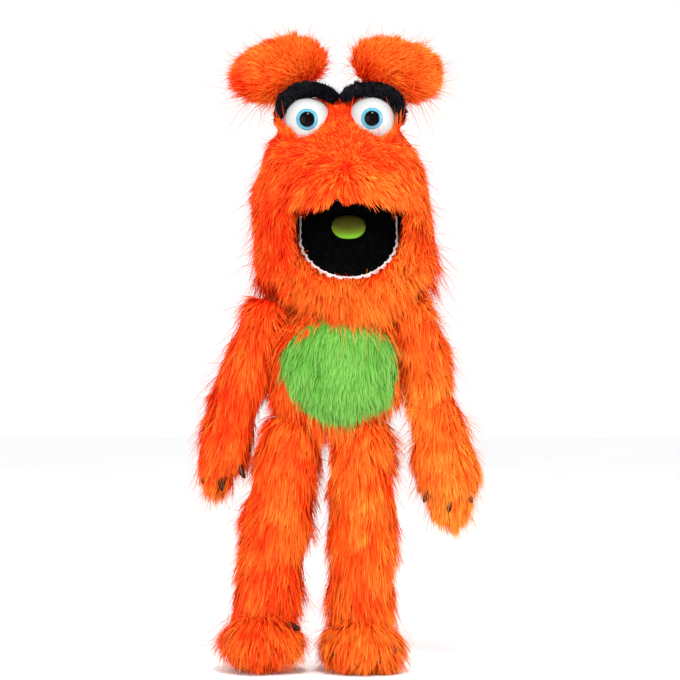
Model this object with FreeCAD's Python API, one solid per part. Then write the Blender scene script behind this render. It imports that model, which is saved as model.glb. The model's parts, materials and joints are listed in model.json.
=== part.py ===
import FreeCAD, Part

import math
import os

from FreeCAD import Vector

# A furry hand-and-arm puppet with a moving mouth, held up by the arm in its sleeve.
# While it is built, heights count from the soles, X is the puppet's width, and -Y is its front.
# save() moves the origin to the sleeve opening. Every size is in millimetres.

# The sleeve opening in the lower back, and the origin on its rim
SLEEVE_HEIGHT = 318.0
SLEEVE_RIM_Y = 77.0
SLEEVE_RADIUS = 44.0
CUFF_LENGTH = 25.0
CUFF_WALL = 3.0
ORIGIN = Vector(0, SLEEVE_RIM_Y, SLEEVE_HEIGHT)

# Layers, from the outside in
FUR = 8.0
FOAM = 7.0
LINING = 1.5
GAP = 0.2
LIMB_FUR = 7.0

# Body, as rows of height, centre x, centre y, half width, half depth
BODY = [
    (268, -8, 0, 44, 32),
    (276, -7, 0, 56, 42),
    (292, -6, 0, 64, 48),
    (320, -4, 0, 66, 50),
    (340, -3, 1, 61, 49),
    (355, -1, 3, 54, 46),
    (366, 0, 6, 44, 38),
]
NECK_Y = 34.0
NECK_BOTTOM = 344.0
NECK_TOP = 385.0
NECK_HALF_WIDTH = 50.0
NECK_HALF_DEPTH = 30.0
NECK_WALL = 5.0
BELLY_CENTRE_HEIGHT = 318.0
BELLY_HALF_WIDTH = 57.0
BELLY_HALF_HEIGHT = 47.0
BELLY_THICKNESS = 5.0

# The spaces for the arm and hand. The panels and blocks round them end at these planes.
ARM_SPACE_X = 30.5
ARM_SPACE_FRONT = -24.5
ARM_SPACE_BOTTOM = 290.0
ARM_SPACE_BACK = 19.0
HAND_SPACE_FRONT = 15.5
HAND_SPACE_BACK = 50.5
HAND_SPACE_ROOF = 535.0
FINGER_SPACE_RIGHT = 48.5
FINGER_SPACE_ROOF = 506.8
FAR = 900.0
CRUMB = 20.0  # mm3, less than any panel or block

# Neck collar, the ring that turns between the body and the head
COLLAR_BOTTOM = 386.0
COLLAR_HEIGHT = 6.0
COLLAR_HALF_WIDTH = 46.0
COLLAR_HALF_DEPTH = 28.0
COLLAR_WALL = 4.0

# Head and muzzle, in the same rows as the body
HEAD = [
    (405, 4, 8, 70, 50),
    (424, 4, 5, 86, 64),
    (465, 3, 2, 89, 72),
    (505, 1, 0, 86, 74),
    (540, 0, 0, 74, 65),
    (570, 0, 0, 57, 52),
    (588, 0, 0, 38, 36),
    (596, 0, 0, 20, 20),
]
MUZZLE = [
    (470, 8, -46, 54, 44),
    (488, 8, -52, 60, 50),
    (506, 7, -52, 56, 46),
    (522, 6, -48, 44, 36),
    (532, 6, -44, 26, 22),
]
HAND_SPACE_Y = 33.0
HAND_SPACE_HALF_WIDTH = 44.0
HAND_SPACE_HALF_DEPTH = 28.0
HAND_SPACE_TOP = 540.0

# Mouth: D-shaped boards that fold about a line at the back, shown open
MOUTH_X = 9.0
HINGE_Y = -15.0
HINGE_HEIGHT = 478.0
OPEN_ANGLE = 63.0
BOARD_HALF_WIDTH = 51.0
BOARD_REACH = 78.0
BOARD_BACK = 8.0
BOARD = 2.4
MOUTH_LINING = 1.2
UPPER_FACE = 3.0
LOWER_FACE = -4.0
JAW_FOAM_BOTTOM = -27.0
JAW_FUR_BOTTOM = -33.0
JAW_FUR_GROW = 9.0
JAW_FOAM_GROW = 2.0
JAW_ROUNDING = 12.0
JAW_SWEEP_RADIUS = 36.0
JAW_ROOM = 62.0
THROAT_BACK = 16.0
POCKET_WALL = 1.0
FINGER_POCKET = (40.0, 80.0, 22.0)
THUMB_POCKET = (19.0, 50.0, 16.0)
TOOTH_COUNT = 13
TOOTH_RADIUS = 5.2
TOOTH_STRIP = 1.4
TONGUE_HALF_WIDTH = 18.0
TONGUE_LENGTH = 33.0
TONGUE_THICKNESS = 5.0

# Eyes
EYE_X = {"left": -34.0, "right": 33.0}
EYE_Y = -34.0
EYE_HEIGHT = {"left": 569.0, "right": 570.0}
EYE_RADIUS = 25.0
EYE_DEPTH = 12.0
IRIS_RADIUS = 12.0
IRIS_BULGE = 4.5
PUPIL_RADIUS = 7.8
PUPIL_RISE = 1.6
POST_RADIUS = 2.2
WASHER_RADIUS = 8.0
WASHER_THICKNESS = 2.0
BROW_RADIUS = 6.0
BROW_ARC_RADIUS = 32.5
BROW_Y = -44.0
BROW_ARC = {"left": (38.0, 184.0), "right": (-4.0, 142.0)}

# Ears and feet are pillows of this many rows
PILLOW_ROWS = 9

# Ears: flat stuffed lobes that lean outward
EAR_HALF = (43.0, 17.0, 27.0)
EAR_X = {"left": -61.0, "right": 58.0}
EAR_HEIGHT = 628.0
EAR_TILT = {"left": -14.0, "right": 14.0}

# Limbs, as rows of height, centre x, half width, half depth
ARMS = {
    "left": [(366, -80, 19, 19), (323, -96, 21, 21), (285, -108, 21, 21), (262, -113, 20, 20)],
    "right": [(364, 78, 19, 19), (323, 89, 20, 20), (285, 95, 20, 20), (250, 102, 20, 20)],
}
HANDS = {
    "left": [(260, -113, 19, 19), (244, -118, 24, 22), (222, -122, 23, 20), (205, -126, 15, 14)],
    "right": [(246, 104, 19, 19), (226, 107, 28, 24), (200, 111, 29, 23), (183, 115, 21, 17)],
}
SEAM_X = {"left": -59.3, "right": 57.3}
SEAM_RADIUS = 10.0
SEAM_THICKNESS = 2.4
LEG_Y = -5.0
LEGS = {
    "left": [(238, -52, 27, 27), (200, -60, 28, 28), (120, -70, 29, 29), (62, -80, 28, 28)],
    "right": [(238, 22, 27, 27), (200, 23, 28, 28), (120, 23, 29, 29), (62, 22, 28, 28)],
}
FEET = {"left": Vector(-82, -22, 31), "right": Vector(22, -22, 24)}
FOOT_HALF = (34.0, 43.0, 23.0)
ANKLE_HEIGHT = 62.0
ANKLE_ROOM = 30.0

# Claws: base point and heading of each, with the point some way inside the fur
CLAW_LENGTH = 17.0
CLAW_RADIUS = 6.2
CLAW_TIP = 2.2
FOOT_CLAWS = {
    "left": [((-110, -40, 36), (-0.5, -0.8, -0.5)), ((-92, -52, 28), (-0.1, -0.9, -0.5)),
             ((-70, -52, 29), (0.1, -0.9, -0.5)), ((-55, -40, 44), (0.75, -0.7, 0.05))],
    "right": [((0, -48, 27), (-0.4, -0.8, -0.4)), ((15, -54, 20), (0, -0.9, -0.5)),
              ((36, -53, 20), (0.3, -0.9, -0.5)), ((47, -43, 28), (0.6, -0.7, -0.3))],
}
HAND_CLAWS = {
    "left": [((-136, -8, 208), (-0.5, -0.6, -0.8)), ((-124, -9, 202), (0, -0.6, -0.9)),
             ((-110, -8, 212), (0.6, -0.6, -0.7))],
    "right": [((96, -10, 188), (-0.5, -0.6, -0.8)), ((114, -11, 180), (0, -0.6, -0.9)),
              ((130, -10, 188), (0.5, -0.6, -0.8))],
}
SIDES = ("left", "right")


def save(name, shape):
    """Write one node with the sleeve opening as the origin."""
    placed = shape.copy()
    placed.translate(-ORIGIN)
    if not placed.isValid():
        print("not valid:", name)
    placed.exportStep("parts/" + name + ".step")
    print(f"{name:22s} solids {len(placed.Solids):2d}  cm3 {placed.Volume / 1000:8.2f}")


def ellipse(height, x, y, half_width, half_depth):
    return Part.Wire(Part.Ellipse(Vector(x, y, height), half_width, half_depth).toShape())


def loft(rows):
    """Rows joined by straight cloth panels, like the gores that such a skin is sewn from."""
    return Part.makeLoft([ellipse(*row) for row in rows], True, True)


def shrink(rows, by):
    """The same form inside a layer of the given thickness."""
    low, high = rows[0][0] + by, rows[-1][0] - by
    if low > high:
        low, high = rows[0][0] - by, rows[-1][0] + by
    ends = sorted((low, high))
    return [(min(max(z, ends[0]), ends[1]), x, y, w - by, d - by) for z, x, y, w, d in rows]


def spaced(rows):
    """Drop rows that a shrink brought to the height of the one before."""
    kept = [rows[0]]
    for row in rows[1:]:
        if abs(row[0] - kept[-1][0]) > 2.0:
            kept.append(row)
    return kept


def limb(rows, y, by=0.0):
    """A stuffed tube with round ends, thinner by the given layer."""
    full = [(z, x, y, w - by, d - by) for z, x, w, d in rows]
    z, x, y, w, d = full[0]
    top = [(z + 0.9 * w, x, y, 0.44 * w, 0.44 * d), (z + 0.6 * w, x, y, 0.8 * w, 0.8 * d)]
    z, x, y, w, d = full[-1]
    bottom = [(z - 0.6 * w, x, y, 0.8 * w, 0.8 * d), (z - 0.9 * w, x, y, 0.44 * w, 0.44 * d)]
    return loft(top + full + bottom)


def box(low, high):
    return Part.makeBox(*(high - low), low)


def cells_of(shape, cells):
    """The sewn panels or glued blocks that fill the given cells, side by side."""
    found = []
    for (x0, x1), (y0, y1), (z0, z1) in cells:
        part = shape.common(box(Vector(x0, y0, z0), Vector(x1, y1, z1)))
        found += [solid for solid in part.Solids if solid.Volume > CRUMB]
    return Part.Compound(found)


def cylinder_x(radius, x0, x1, y, height):
    return Part.makeCylinder(radius, x1 - x0, Vector(x0, y, height), Vector(1, 0, 0))


def cylinder_y(radius, y0, y1, x, height):
    return Part.makeCylinder(radius, y1 - y0, Vector(x, y0, height), Vector(0, 1, 0))


def ellipsoid(centre, half, tilt=0.0):
    """A pillow of oval rows, tilted sideways in its own face plane."""
    rows = []
    for i in range(PILLOW_ROWS):
        turn = math.radians(-80 + 160 * i / (PILLOW_ROWS - 1))
        width = half[0] * math.cos(turn)
        depth = half[1] * math.cos(turn)
        rows.append((half[2] * math.sin(turn), 0, 0, max(width, depth), min(width, depth)))
    shape = loft(rows)
    if half[1] > half[0]:
        shape.rotate(Vector(0, 0, 0), Vector(0, 0, 1), 90)
    shape.rotate(Vector(0, 0, 0), Vector(0, 1, 0), tilt)
    shape.translate(centre)
    return shape


def oval_prism(x, y, half_width, half_depth, low, high):
    return loft([(low, x, y, half_width, half_depth), (high, x, y, half_width, half_depth)])


# Body and sleeve

def neck_prism(wall, low, high):
    return oval_prism(0, NECK_Y, NECK_HALF_WIDTH - wall, NECK_HALF_DEPTH - wall, low, high)


def body_cells():
    """Front, sides, bottom, shoulder and neck panels, none of which bends round the arm."""
    side, front, back, low = ARM_SPACE_X, ARM_SPACE_FRONT, ARM_SPACE_BACK, ARM_SPACE_BOTTOM
    return [
        ((-FAR, FAR), (-FAR, front), (0, FAR)),
        ((-FAR, -side), (front, FAR), (0, FAR)),
        ((side, FAR), (front, FAR), (0, FAR)),
        ((-side, side), (front, FAR), (0, low)),
        ((-side, side), (front, back), (low, FAR)),
        ((-side, side), (back, FAR), (low, FAR)),
    ]


def body():
    """Fur, foam and lining in layers, open at the neck and at the sleeve."""
    sleeve_hole = cylinder_y(SLEEVE_RADIUS + CUFF_WALL + GAP, 15, 100, 0, SLEEVE_HEIGHT)
    passage = neck_prism(NECK_WALL, NECK_BOTTOM - 10, NECK_TOP + 10)
    outer = loft(BODY)
    under_fur = loft(spaced(shrink(BODY, FUR)))
    fur = outer.cut(under_fur).fuse(neck_prism(0, NECK_BOTTOM, NECK_TOP))
    fur = fur.cut(passage).cut(sleeve_hole)
    cavity = loft(spaced(shrink(BODY, FUR + GAP + FOAM)))
    foam = loft(spaced(shrink(BODY, FUR + GAP))).cut(cavity)
    foam = foam.cut(neck_prism(-GAP, NECK_BOTTOM, NECK_TOP + 10)).cut(passage).cut(sleeve_hole)
    lining = loft(spaced(shrink(BODY, FUR + FOAM + 2 * GAP)))
    lining = lining.cut(loft(spaced(shrink(BODY, FUR + FOAM + LINING + 2 * GAP))))
    lining = lining.cut(neck_prism(-GAP, NECK_BOTTOM, NECK_TOP + 10)).cut(passage).cut(sleeve_hole)
    save("body_fur", cells_of(largest(fur), body_cells()))
    save("body_foam", largest(foam))
    save("body_lining", largest(lining))
    belly_patch(outer)


def belly_patch(outer):
    """The green patch, a layer laid over the front of the body."""
    rows = [(z, x, y, w + BELLY_THICKNESS, d + BELLY_THICKNESS) for z, x, y, w, d in BODY]
    layer = loft(rows).cut(outer)
    oval = Part.Wire(Part.Ellipse(Vector(0, 0, 0), BELLY_HALF_WIDTH, BELLY_HALF_HEIGHT).toShape())
    disc = Part.Face(oval).extrude(Vector(0, 0, 90))
    disc.rotate(Vector(0, 0, 0), Vector(1, 0, 0), 90)
    disc.translate(Vector(0, -12, BELLY_CENTRE_HEIGHT))
    save("belly_patch", largest(layer.common(disc)))


def sleeve():
    """The lining tube into the body, and the hemmed cuff that the arm goes through."""
    start = SLEEVE_RIM_Y - CUFF_LENGTH
    cuff = cylinder_y(SLEEVE_RADIUS + CUFF_WALL, start, SLEEVE_RIM_Y, 0, SLEEVE_HEIGHT)
    cuff = cuff.cut(cylinder_y(SLEEVE_RADIUS, start - 1, SLEEVE_RIM_Y + 1, 0, SLEEVE_HEIGHT))
    inside = SLEEVE_RADIUS + 1
    tube = cylinder_y(inside + LINING, 24, start - GAP, 0, SLEEVE_HEIGHT)
    tube = tube.cut(cylinder_y(inside, 20, start, 0, SLEEVE_HEIGHT))
    save("sleeve_cuff", cuff)
    save("sleeve_lining", tube.cut(neck_prism(-GAP, NECK_BOTTOM, NECK_TOP)))


def neck_collar():
    top = COLLAR_BOTTOM + COLLAR_HEIGHT
    outer = oval_prism(0, NECK_Y, COLLAR_HALF_WIDTH, COLLAR_HALF_DEPTH, COLLAR_BOTTOM, top)
    inner = oval_prism(0, NECK_Y, COLLAR_HALF_WIDTH - COLLAR_WALL, COLLAR_HALF_DEPTH - COLLAR_WALL,
                       COLLAR_BOTTOM - 1, top + 1)
    save("neck_collar", outer.cut(inner))


def largest(shape):
    """The one connected solid that matters, without crumbs that a cut left."""
    return max(shape.Solids, key=lambda solid: solid.Volume)


# Mouth boards: x from the mouth's middle, y and z from the fold line

def d_plate(grow, low, high, back=BOARD_BACK):
    """A D-shaped slab: straight at the fold and round at the lips."""
    half = BOARD_HALF_WIDTH + grow
    middle = -(BOARD_REACH - BOARD_HALF_WIDTH)
    a, b = Vector(-half, -back, low), Vector(-half, middle, low)
    c, d = Vector(half, middle, low), Vector(half, -back, low)
    lips = Part.Arc(b, Vector(0, middle - half, low), c).toShape()
    edges = [Part.makeLine(a, b), lips, Part.makeLine(c, d), Part.makeLine(d, a)]
    return Part.Face(Part.Wire(edges)).extrude(Vector(0, 0, high - low))


def to_head(shape):
    """Put a piece made at the fold line where the fold is."""
    placed = shape.copy()
    placed.translate(Vector(MOUTH_X, HINGE_Y, HINGE_HEIGHT))
    return placed


def to_jaw(shape):
    """The same, swung down by the angle at which the mouth hangs open."""
    placed = shape.copy()
    placed.rotate(Vector(0, 0, 0), Vector(1, 0, 0), OPEN_ANGLE)
    return to_head(placed)


def mouth_room():
    """All the space that the jaw and its fur need as the mouth opens and shuts."""
    upper_board = HINGE_HEIGHT + UPPER_FACE + MOUTH_LINING + BOARD + 2 * GAP
    low, high = MOUTH_X - JAW_ROOM, MOUTH_X + JAW_ROOM
    under = box(Vector(low, -200, 300), Vector(high, THROAT_BACK, HINGE_HEIGHT))
    front = box(Vector(low, -200, 300), Vector(high, HINGE_Y + 3, upper_board))
    pivot = cylinder_x(JAW_SWEEP_RADIUS, low, high, HINGE_Y, HINGE_HEIGHT)
    pivot = pivot.common(box(Vector(low, -200, 300), Vector(high, 200, upper_board)))
    return under.fuse(front).fuse(pivot)


def upper_mouth():
    bottom = UPPER_FACE
    save("upper_mouth_lining", to_head(d_plate(1, bottom, bottom + MOUTH_LINING)))
    bottom += MOUTH_LINING + GAP
    save("upper_mouth_board", to_head(d_plate(0, bottom, bottom + BOARD)))
    tape = box(Vector(-42, 1.0, -4.0), Vector(42, 2.0, 7.0))
    save("mouth_fold_tape", to_head(tape))


def thumb_space(grow=0.0):
    half, length, height = THUMB_POCKET
    top = LOWER_FACE - MOUTH_LINING - BOARD - 3 * GAP
    low = Vector(-half - grow, -BOARD_BACK - length - grow, top - POCKET_WALL - height - grow)
    return box(low, Vector(half + grow, -BOARD_BACK + 1, top - POCKET_WALL + grow))


def jaw():
    """The lower half of the mouth: lining, board, foam chin with a thumb pocket, fur and teeth."""
    top = LOWER_FACE
    lining = d_plate(1, top - MOUTH_LINING, top)
    board_top = top - MOUTH_LINING - GAP
    board = d_plate(0, board_top - BOARD, board_top)
    foam_top = board_top - BOARD - GAP
    foam = rounded_under(d_plate(JAW_FOAM_GROW, JAW_FOAM_BOTTOM, foam_top), JAW_ROUNDING - 3)
    fur = rounded_under(d_plate(JAW_FUR_GROW, JAW_FUR_BOTTOM, top - MOUTH_LINING), JAW_ROUNDING)
    hollow = d_plate(JAW_FOAM_GROW + GAP, JAW_FOAM_BOTTOM - GAP, top + 5, back=BOARD_BACK - 5)
    pocket = thumb_space(POCKET_WALL).cut(thumb_space())
    pocket = pocket.common(d_plate(0, -60, 10))
    save("lower_mouth_lining", to_jaw(lining))
    save("lower_mouth_board", to_jaw(board))
    save("jaw_foam", to_jaw(foam.cut(thumb_space(POCKET_WALL + GAP))))
    save("jaw_fur", to_jaw(largest(fur.cut(hollow))))
    save("thumb_pocket", to_jaw(pocket))
    save("teeth_strip", to_jaw(teeth()))
    save("tongue", to_jaw(tongue()))


def rounded_under(slab, radius):
    """Round the lower edge of a slab round its lips."""
    low = slab.BoundBox.ZMin
    back = slab.BoundBox.YMax
    chosen = []
    for edge in slab.Edges:
        middle = edge.CenterOfMass
        if abs(middle.z - low) < 0.01 and abs(middle.y - back) > 0.01:
            chosen.append(edge)
    return slab.makeFillet(radius, chosen)


def teeth():
    """A flat felt strip round the lower lip with scallops along its outer edge."""
    low, high = LOWER_FACE + GAP, LOWER_FACE + GAP + TOOTH_STRIP
    strip = d_plate(2.5, low, high, back=BOARD_BACK + 4)
    middle = -(BOARD_REACH - BOARD_HALF_WIDTH)
    line = BOARD_HALF_WIDTH + 2.5
    for i in range(TOOTH_COUNT):
        turn = math.radians(-172 + 164 * i / (TOOTH_COUNT - 1))
        spot = Vector(line * math.cos(turn), middle + line * math.sin(turn), low)
        strip = strip.fuse(Part.makeCylinder(TOOTH_RADIUS, TOOTH_STRIP, spot))
    return strip.cut(d_plate(-4, low - 1, high + 1, back=-5)).removeSplitter()


def tongue():
    """A small stuffed felt tongue that lies on the lower lining from the fold."""
    low = LOWER_FACE + 0.5
    start = -BOARD_BACK - 1
    turn = start - (TONGUE_LENGTH - TONGUE_HALF_WIDTH)
    w = TONGUE_HALF_WIDTH
    a, b, c, d = (Vector(-w, start, low), Vector(-w, turn, low), Vector(w, turn, low),
                  Vector(w, start, low))
    tip = Part.Arc(b, Vector(0, turn - w, low), c).toShape()
    edges = [Part.makeLine(a, b), tip, Part.makeLine(c, d), Part.makeLine(d, a)]
    return Part.Face(Part.Wire(edges)).extrude(Vector(0, 0, TONGUE_THICKNESS))


# Head

def finger_space(grow=0.0):
    half, length, height = FINGER_POCKET
    low_face = HINGE_HEIGHT + UPPER_FACE + MOUTH_LINING + BOARD + 3 * GAP + POCKET_WALL
    front = HINGE_Y + 22 - length
    low = Vector(MOUTH_X - half - grow, front - grow, low_face - grow)
    return box(low, Vector(MOUTH_X + half + grow, HINGE_Y + 22, low_face + height + grow))


def head_cells():
    """Cheeks, forehead, muzzle, crown and nape, none of which bends round the hand."""
    side, right = ARM_SPACE_X, FINGER_SPACE_RIGHT
    front, back = HAND_SPACE_FRONT, HAND_SPACE_BACK
    roof, brow = HAND_SPACE_ROOF, FINGER_SPACE_ROOF
    return [
        ((-FAR, -side), (-FAR, front), (0, FAR)),
        ((right, FAR), (-FAR, front), (0, FAR)),
        ((-side, right), (-FAR, front), (brow, FAR)),
        ((-side, right), (-FAR, front), (0, brow)),
        ((-FAR, -side), (front, FAR), (0, FAR)),
        ((side, FAR), (front, FAR), (0, FAR)),
        ((-side, side), (front, FAR), (roof, FAR)),
        ((-side, side), (back, FAR), (0, roof)),
    ]


def head():
    """Fur and foam, hollow for the hand, with the mouth cut into the front."""
    outer = loft(HEAD).fuse(loft(MUZZLE))
    inner = loft(spaced(shrink(HEAD, FUR))).fuse(loft(spaced(shrink(MUZZLE, FUR))))
    core = loft(spaced(shrink(HEAD, FUR + GAP))).fuse(loft(spaced(shrink(MUZZLE, FUR + GAP))))
    hand = oval_prism(0, HAND_SPACE_Y, HAND_SPACE_HALF_WIDTH, HAND_SPACE_HALF_DEPTH,
                      HEAD[0][0] - 5, HAND_SPACE_TOP)
    room = mouth_room()
    fingers = finger_space(POCKET_WALL + GAP)
    fur = outer.cut(inner).cut(hand).cut(room).cut(fingers)
    foam = core.cut(hand).cut(room).cut(fingers)
    for side in SIDES:
        for piece in (eye_white(side), washer_room(side), eyebrow(side)):
            fur = fur.cut(piece)
            foam = foam.cut(piece)
    save("head_fur", cells_of(largest(fur), head_cells()))
    save("head_foam", cells_of(largest(foam), head_cells()))
    pocket = finger_space(POCKET_WALL).cut(finger_space())
    pocket = pocket.cut(box(Vector(-200, HINGE_Y + 21.9, 0), Vector(200, 200, 900)))
    save("finger_pocket", largest(pocket))


def eye_white(side):
    """A white ball, set into the head; the post of the iris goes through it."""
    ball = Part.makeSphere(EYE_RADIUS, Vector(EYE_X[side], EYE_Y, EYE_HEIGHT[side]))
    return ball.cut(box(Vector(-FAR, EYE_Y + EYE_DEPTH, 0), Vector(FAR, FAR, FAR)))


def eye_washer(side):
    back = EYE_Y + EYE_DEPTH + GAP / 2
    return cylinder_y(WASHER_RADIUS, back, back + WASHER_THICKNESS, EYE_X[side], EYE_HEIGHT[side])


def washer_room(side):
    """The hollow behind the eye ball for the washer and the end of the post."""
    back = EYE_Y + EYE_DEPTH
    return cylinder_y(WASHER_RADIUS + GAP, back - 1, back + WASHER_THICKNESS + 1,
                      EYE_X[side], EYE_HEIGHT[side])


def iris(side):
    """A domed disc on the front of the eye, with its post."""
    x, z = EYE_X[side], EYE_HEIGHT[side]
    front = EYE_Y - EYE_RADIUS
    dome_radius = (IRIS_RADIUS ** 2 + IRIS_BULGE ** 2) / (2 * IRIS_BULGE)
    dome = Part.makeSphere(dome_radius, Vector(x, front + dome_radius - 1.2, z))
    dome = dome.common(cylinder_y(IRIS_RADIUS, front - 10, front + 3.2, x, z))
    post = cylinder_y(POST_RADIUS, front + 2.5, EYE_Y + EYE_DEPTH + WASHER_THICKNESS, x, z)
    return dome.fuse(post)


def pupil(side):
    x, z = EYE_X[side], EYE_HEIGHT[side]
    front = EYE_Y - EYE_RADIUS - 1.2 - PUPIL_RISE
    radius = 18.0
    cap = Part.makeSphere(radius, Vector(x, front + radius, z))
    return cap.common(cylinder_y(PUPIL_RADIUS, front - 2, front + 3.4, x, z))


def eyes():
    for side in SIDES:
        disc, black = iris(side), pupil(side)
        save(side + "_eye_white", eye_white(side).cut(disc))
        save(side + "_iris", largest(disc.cut(black)))
        save(side + "_pupil", black)
        save(side + "_eye_washer", eye_washer(side).cut(disc))
        brow = eyebrow(side)
        for other in SIDES:
            brow = brow.cut(eye_white(other))
        save(side + "_eyebrow", largest(brow))


def eyebrow(side):
    """A plush roll bent round the top of the eye."""
    start, end = BROW_ARC[side]
    roll = Part.makeTorus(BROW_ARC_RADIUS, BROW_RADIUS, Vector(0, 0, 0), Vector(0, 0, 1),
                          0, 360, end - start)
    roll.rotate(Vector(0, 0, 0), Vector(0, 0, 1), start)
    roll.rotate(Vector(0, 0, 0), Vector(1, 0, 0), 90)
    roll.translate(Vector(EYE_X[side], BROW_Y, EYE_HEIGHT[side]))
    return roll


def ears():
    for side in SIDES:
        centre = Vector(EAR_X[side], 0, EAR_HEIGHT)
        inside = [half - FUR for half in EAR_HALF]
        under = [half - FUR - GAP for half in EAR_HALF]
        lobe = ellipsoid(centre, EAR_HALF, EAR_TILT[side])
        save(side + "_ear_fur", lobe.cut(ellipsoid(centre, inside, EAR_TILT[side])))
        save(side + "_ear_stuffing", ellipsoid(centre, under, EAR_TILT[side]))


# Limbs

def claw(base, heading):
    """A blunt horn of stuffed leatherette."""
    way = Vector(*heading).normalize()
    point = Vector(*base)
    horn = Part.makeCone(CLAW_RADIUS, CLAW_TIP, CLAW_LENGTH, point, way)
    return horn.fuse(Part.makeSphere(CLAW_TIP, point + way * CLAW_LENGTH))


def claw_set(rows):
    return [claw(base, heading) for base, heading in rows]


def furry(name, outer, inner, core, claws=()):
    """A fur skin with its stuffing, cut where claws are sewn in."""
    skin = outer.cut(inner)
    for horn in claws:
        skin = skin.cut(horn)
        core = core.cut(horn)
    save(name + "_fur", largest(skin))
    save(name + "_stuffing", largest(core))


def arms():
    for side in SIDES:
        name = side + "_arm"
        furry(name, limb(ARMS[side], 0), limb(ARMS[side], 0, LIMB_FUR),
              limb(ARMS[side], 0, LIMB_FUR + GAP))
        wrist = HANDS[side][0][0] + 12
        below = box(Vector(-300, -100, 0), Vector(300, 100, wrist))
        sleeve_end = limb(ARMS[side], 0, -0.3)
        claws = claw_set(HAND_CLAWS[side])
        hand = limb(HANDS[side], 0).common(below).cut(sleeve_end)
        hollow = limb(HANDS[side], 0, LIMB_FUR)
        core = limb(HANDS[side], 0, LIMB_FUR + GAP).cut(sleeve_end)
        furry(side + "_hand", hand, hollow, core, claws)
        save(side + "_hand_claws", Part.Compound(claws))
        x = SEAM_X[side]
        height = ARMS[side][0][0]
        half = SEAM_THICKNESS / 2
        ring = cylinder_x(SEAM_RADIUS, x - half, x + half, 0, height)
        save(side + "_shoulder_seam", ring.cut(cylinder_x(4.0, x - 9, x + 9, 0, height)))


def legs():
    for side in SIDES:
        rows = LEGS[side]
        furry(side + "_leg", limb(rows, LEG_Y), limb(rows, LEG_Y, LIMB_FUR),
              limb(rows, LEG_Y, LIMB_FUR + GAP))
        centre = FEET[side]
        ankle = Part.makeSphere(ANKLE_ROOM, Vector(rows[-1][1], LEG_Y, ANKLE_HEIGHT))
        inside = [half - LIMB_FUR for half in FOOT_HALF]
        under = [half - LIMB_FUR - GAP for half in FOOT_HALF]
        claws = claw_set(FOOT_CLAWS[side])
        furry(side + "_foot", ellipsoid(centre, FOOT_HALF).cut(ankle), ellipsoid(centre, inside),
              ellipsoid(centre, under).cut(ankle), claws)
        save(side + "_foot_claws", Part.Compound(claws))


os.makedirs("parts", exist_ok=True)
body()
sleeve()
neck_collar()
head()
upper_mouth()
jaw()
eyes()
ears()
arms()
legs()
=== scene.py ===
import json
import math

import bmesh
import bpy
import numpy as np
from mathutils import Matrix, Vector
from mathutils.bvhtree import BVHTree


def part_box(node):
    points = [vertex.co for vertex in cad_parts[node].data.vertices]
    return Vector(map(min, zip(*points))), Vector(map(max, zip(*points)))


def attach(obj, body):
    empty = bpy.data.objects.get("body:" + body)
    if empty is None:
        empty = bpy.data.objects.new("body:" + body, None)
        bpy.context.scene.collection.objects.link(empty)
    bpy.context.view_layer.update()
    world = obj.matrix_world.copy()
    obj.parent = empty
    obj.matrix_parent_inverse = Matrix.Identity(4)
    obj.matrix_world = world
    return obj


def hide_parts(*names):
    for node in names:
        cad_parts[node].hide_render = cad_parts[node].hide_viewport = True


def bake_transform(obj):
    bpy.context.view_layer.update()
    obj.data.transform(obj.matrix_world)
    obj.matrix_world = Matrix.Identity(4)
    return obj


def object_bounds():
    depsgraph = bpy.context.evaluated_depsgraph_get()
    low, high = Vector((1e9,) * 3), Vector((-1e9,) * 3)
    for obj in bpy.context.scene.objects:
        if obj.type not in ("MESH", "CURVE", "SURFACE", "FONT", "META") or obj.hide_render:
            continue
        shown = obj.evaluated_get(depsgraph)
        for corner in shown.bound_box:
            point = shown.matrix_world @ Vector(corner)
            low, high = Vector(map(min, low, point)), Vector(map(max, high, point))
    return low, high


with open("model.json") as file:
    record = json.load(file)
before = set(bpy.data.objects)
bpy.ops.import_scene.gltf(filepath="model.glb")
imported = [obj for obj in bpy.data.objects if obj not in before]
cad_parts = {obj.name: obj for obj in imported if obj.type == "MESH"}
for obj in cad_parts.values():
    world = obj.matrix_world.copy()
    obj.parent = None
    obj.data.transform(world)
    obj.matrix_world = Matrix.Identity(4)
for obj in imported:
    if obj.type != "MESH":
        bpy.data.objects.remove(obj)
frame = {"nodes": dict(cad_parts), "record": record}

CAD_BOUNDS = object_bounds()
MM = 0.001
SIDES = ("left", "right")
DOWN = np.array([0.0, 0.0, -1.0])
UV_LAYER = "OFBake"

ROOM = (CAD_BOUNDS[1] - CAD_BOUNDS[0]) * 0.03 + Vector((8 * MM, 8 * MM, 8 * MM))
NEAR, FAR = np.array(CAD_BOUNDS[0] - ROOM), np.array(CAD_BOUNDS[1] + ROOM)

JOINTS = {joint["name"]: joint for joint in frame["record"]["behaviour"]["joints"]}
FOLD = Vector(JOINTS["mouth"]["pos_m"])
OPEN_ANGLE = math.radians(63)


# ---- places in the frame

def middle(node):
    low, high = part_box(node)
    return (low + high) / 2


def height_in(node, points):
    """Where points are between the foot of a node's box, 0, and its top, 1."""
    low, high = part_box(node)
    return (points[:, 2] - low.z) / (high.z - low.z)


def eye_centre(side):
    """The centre and radius of an eye ball, which is cut flat at its back."""
    low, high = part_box(side + "_eye_white")
    radius = (high.z - low.z) / 2
    return Vector(((low.x + high.x) / 2, low.y + radius, (low.z + high.z) / 2)), radius


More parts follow.
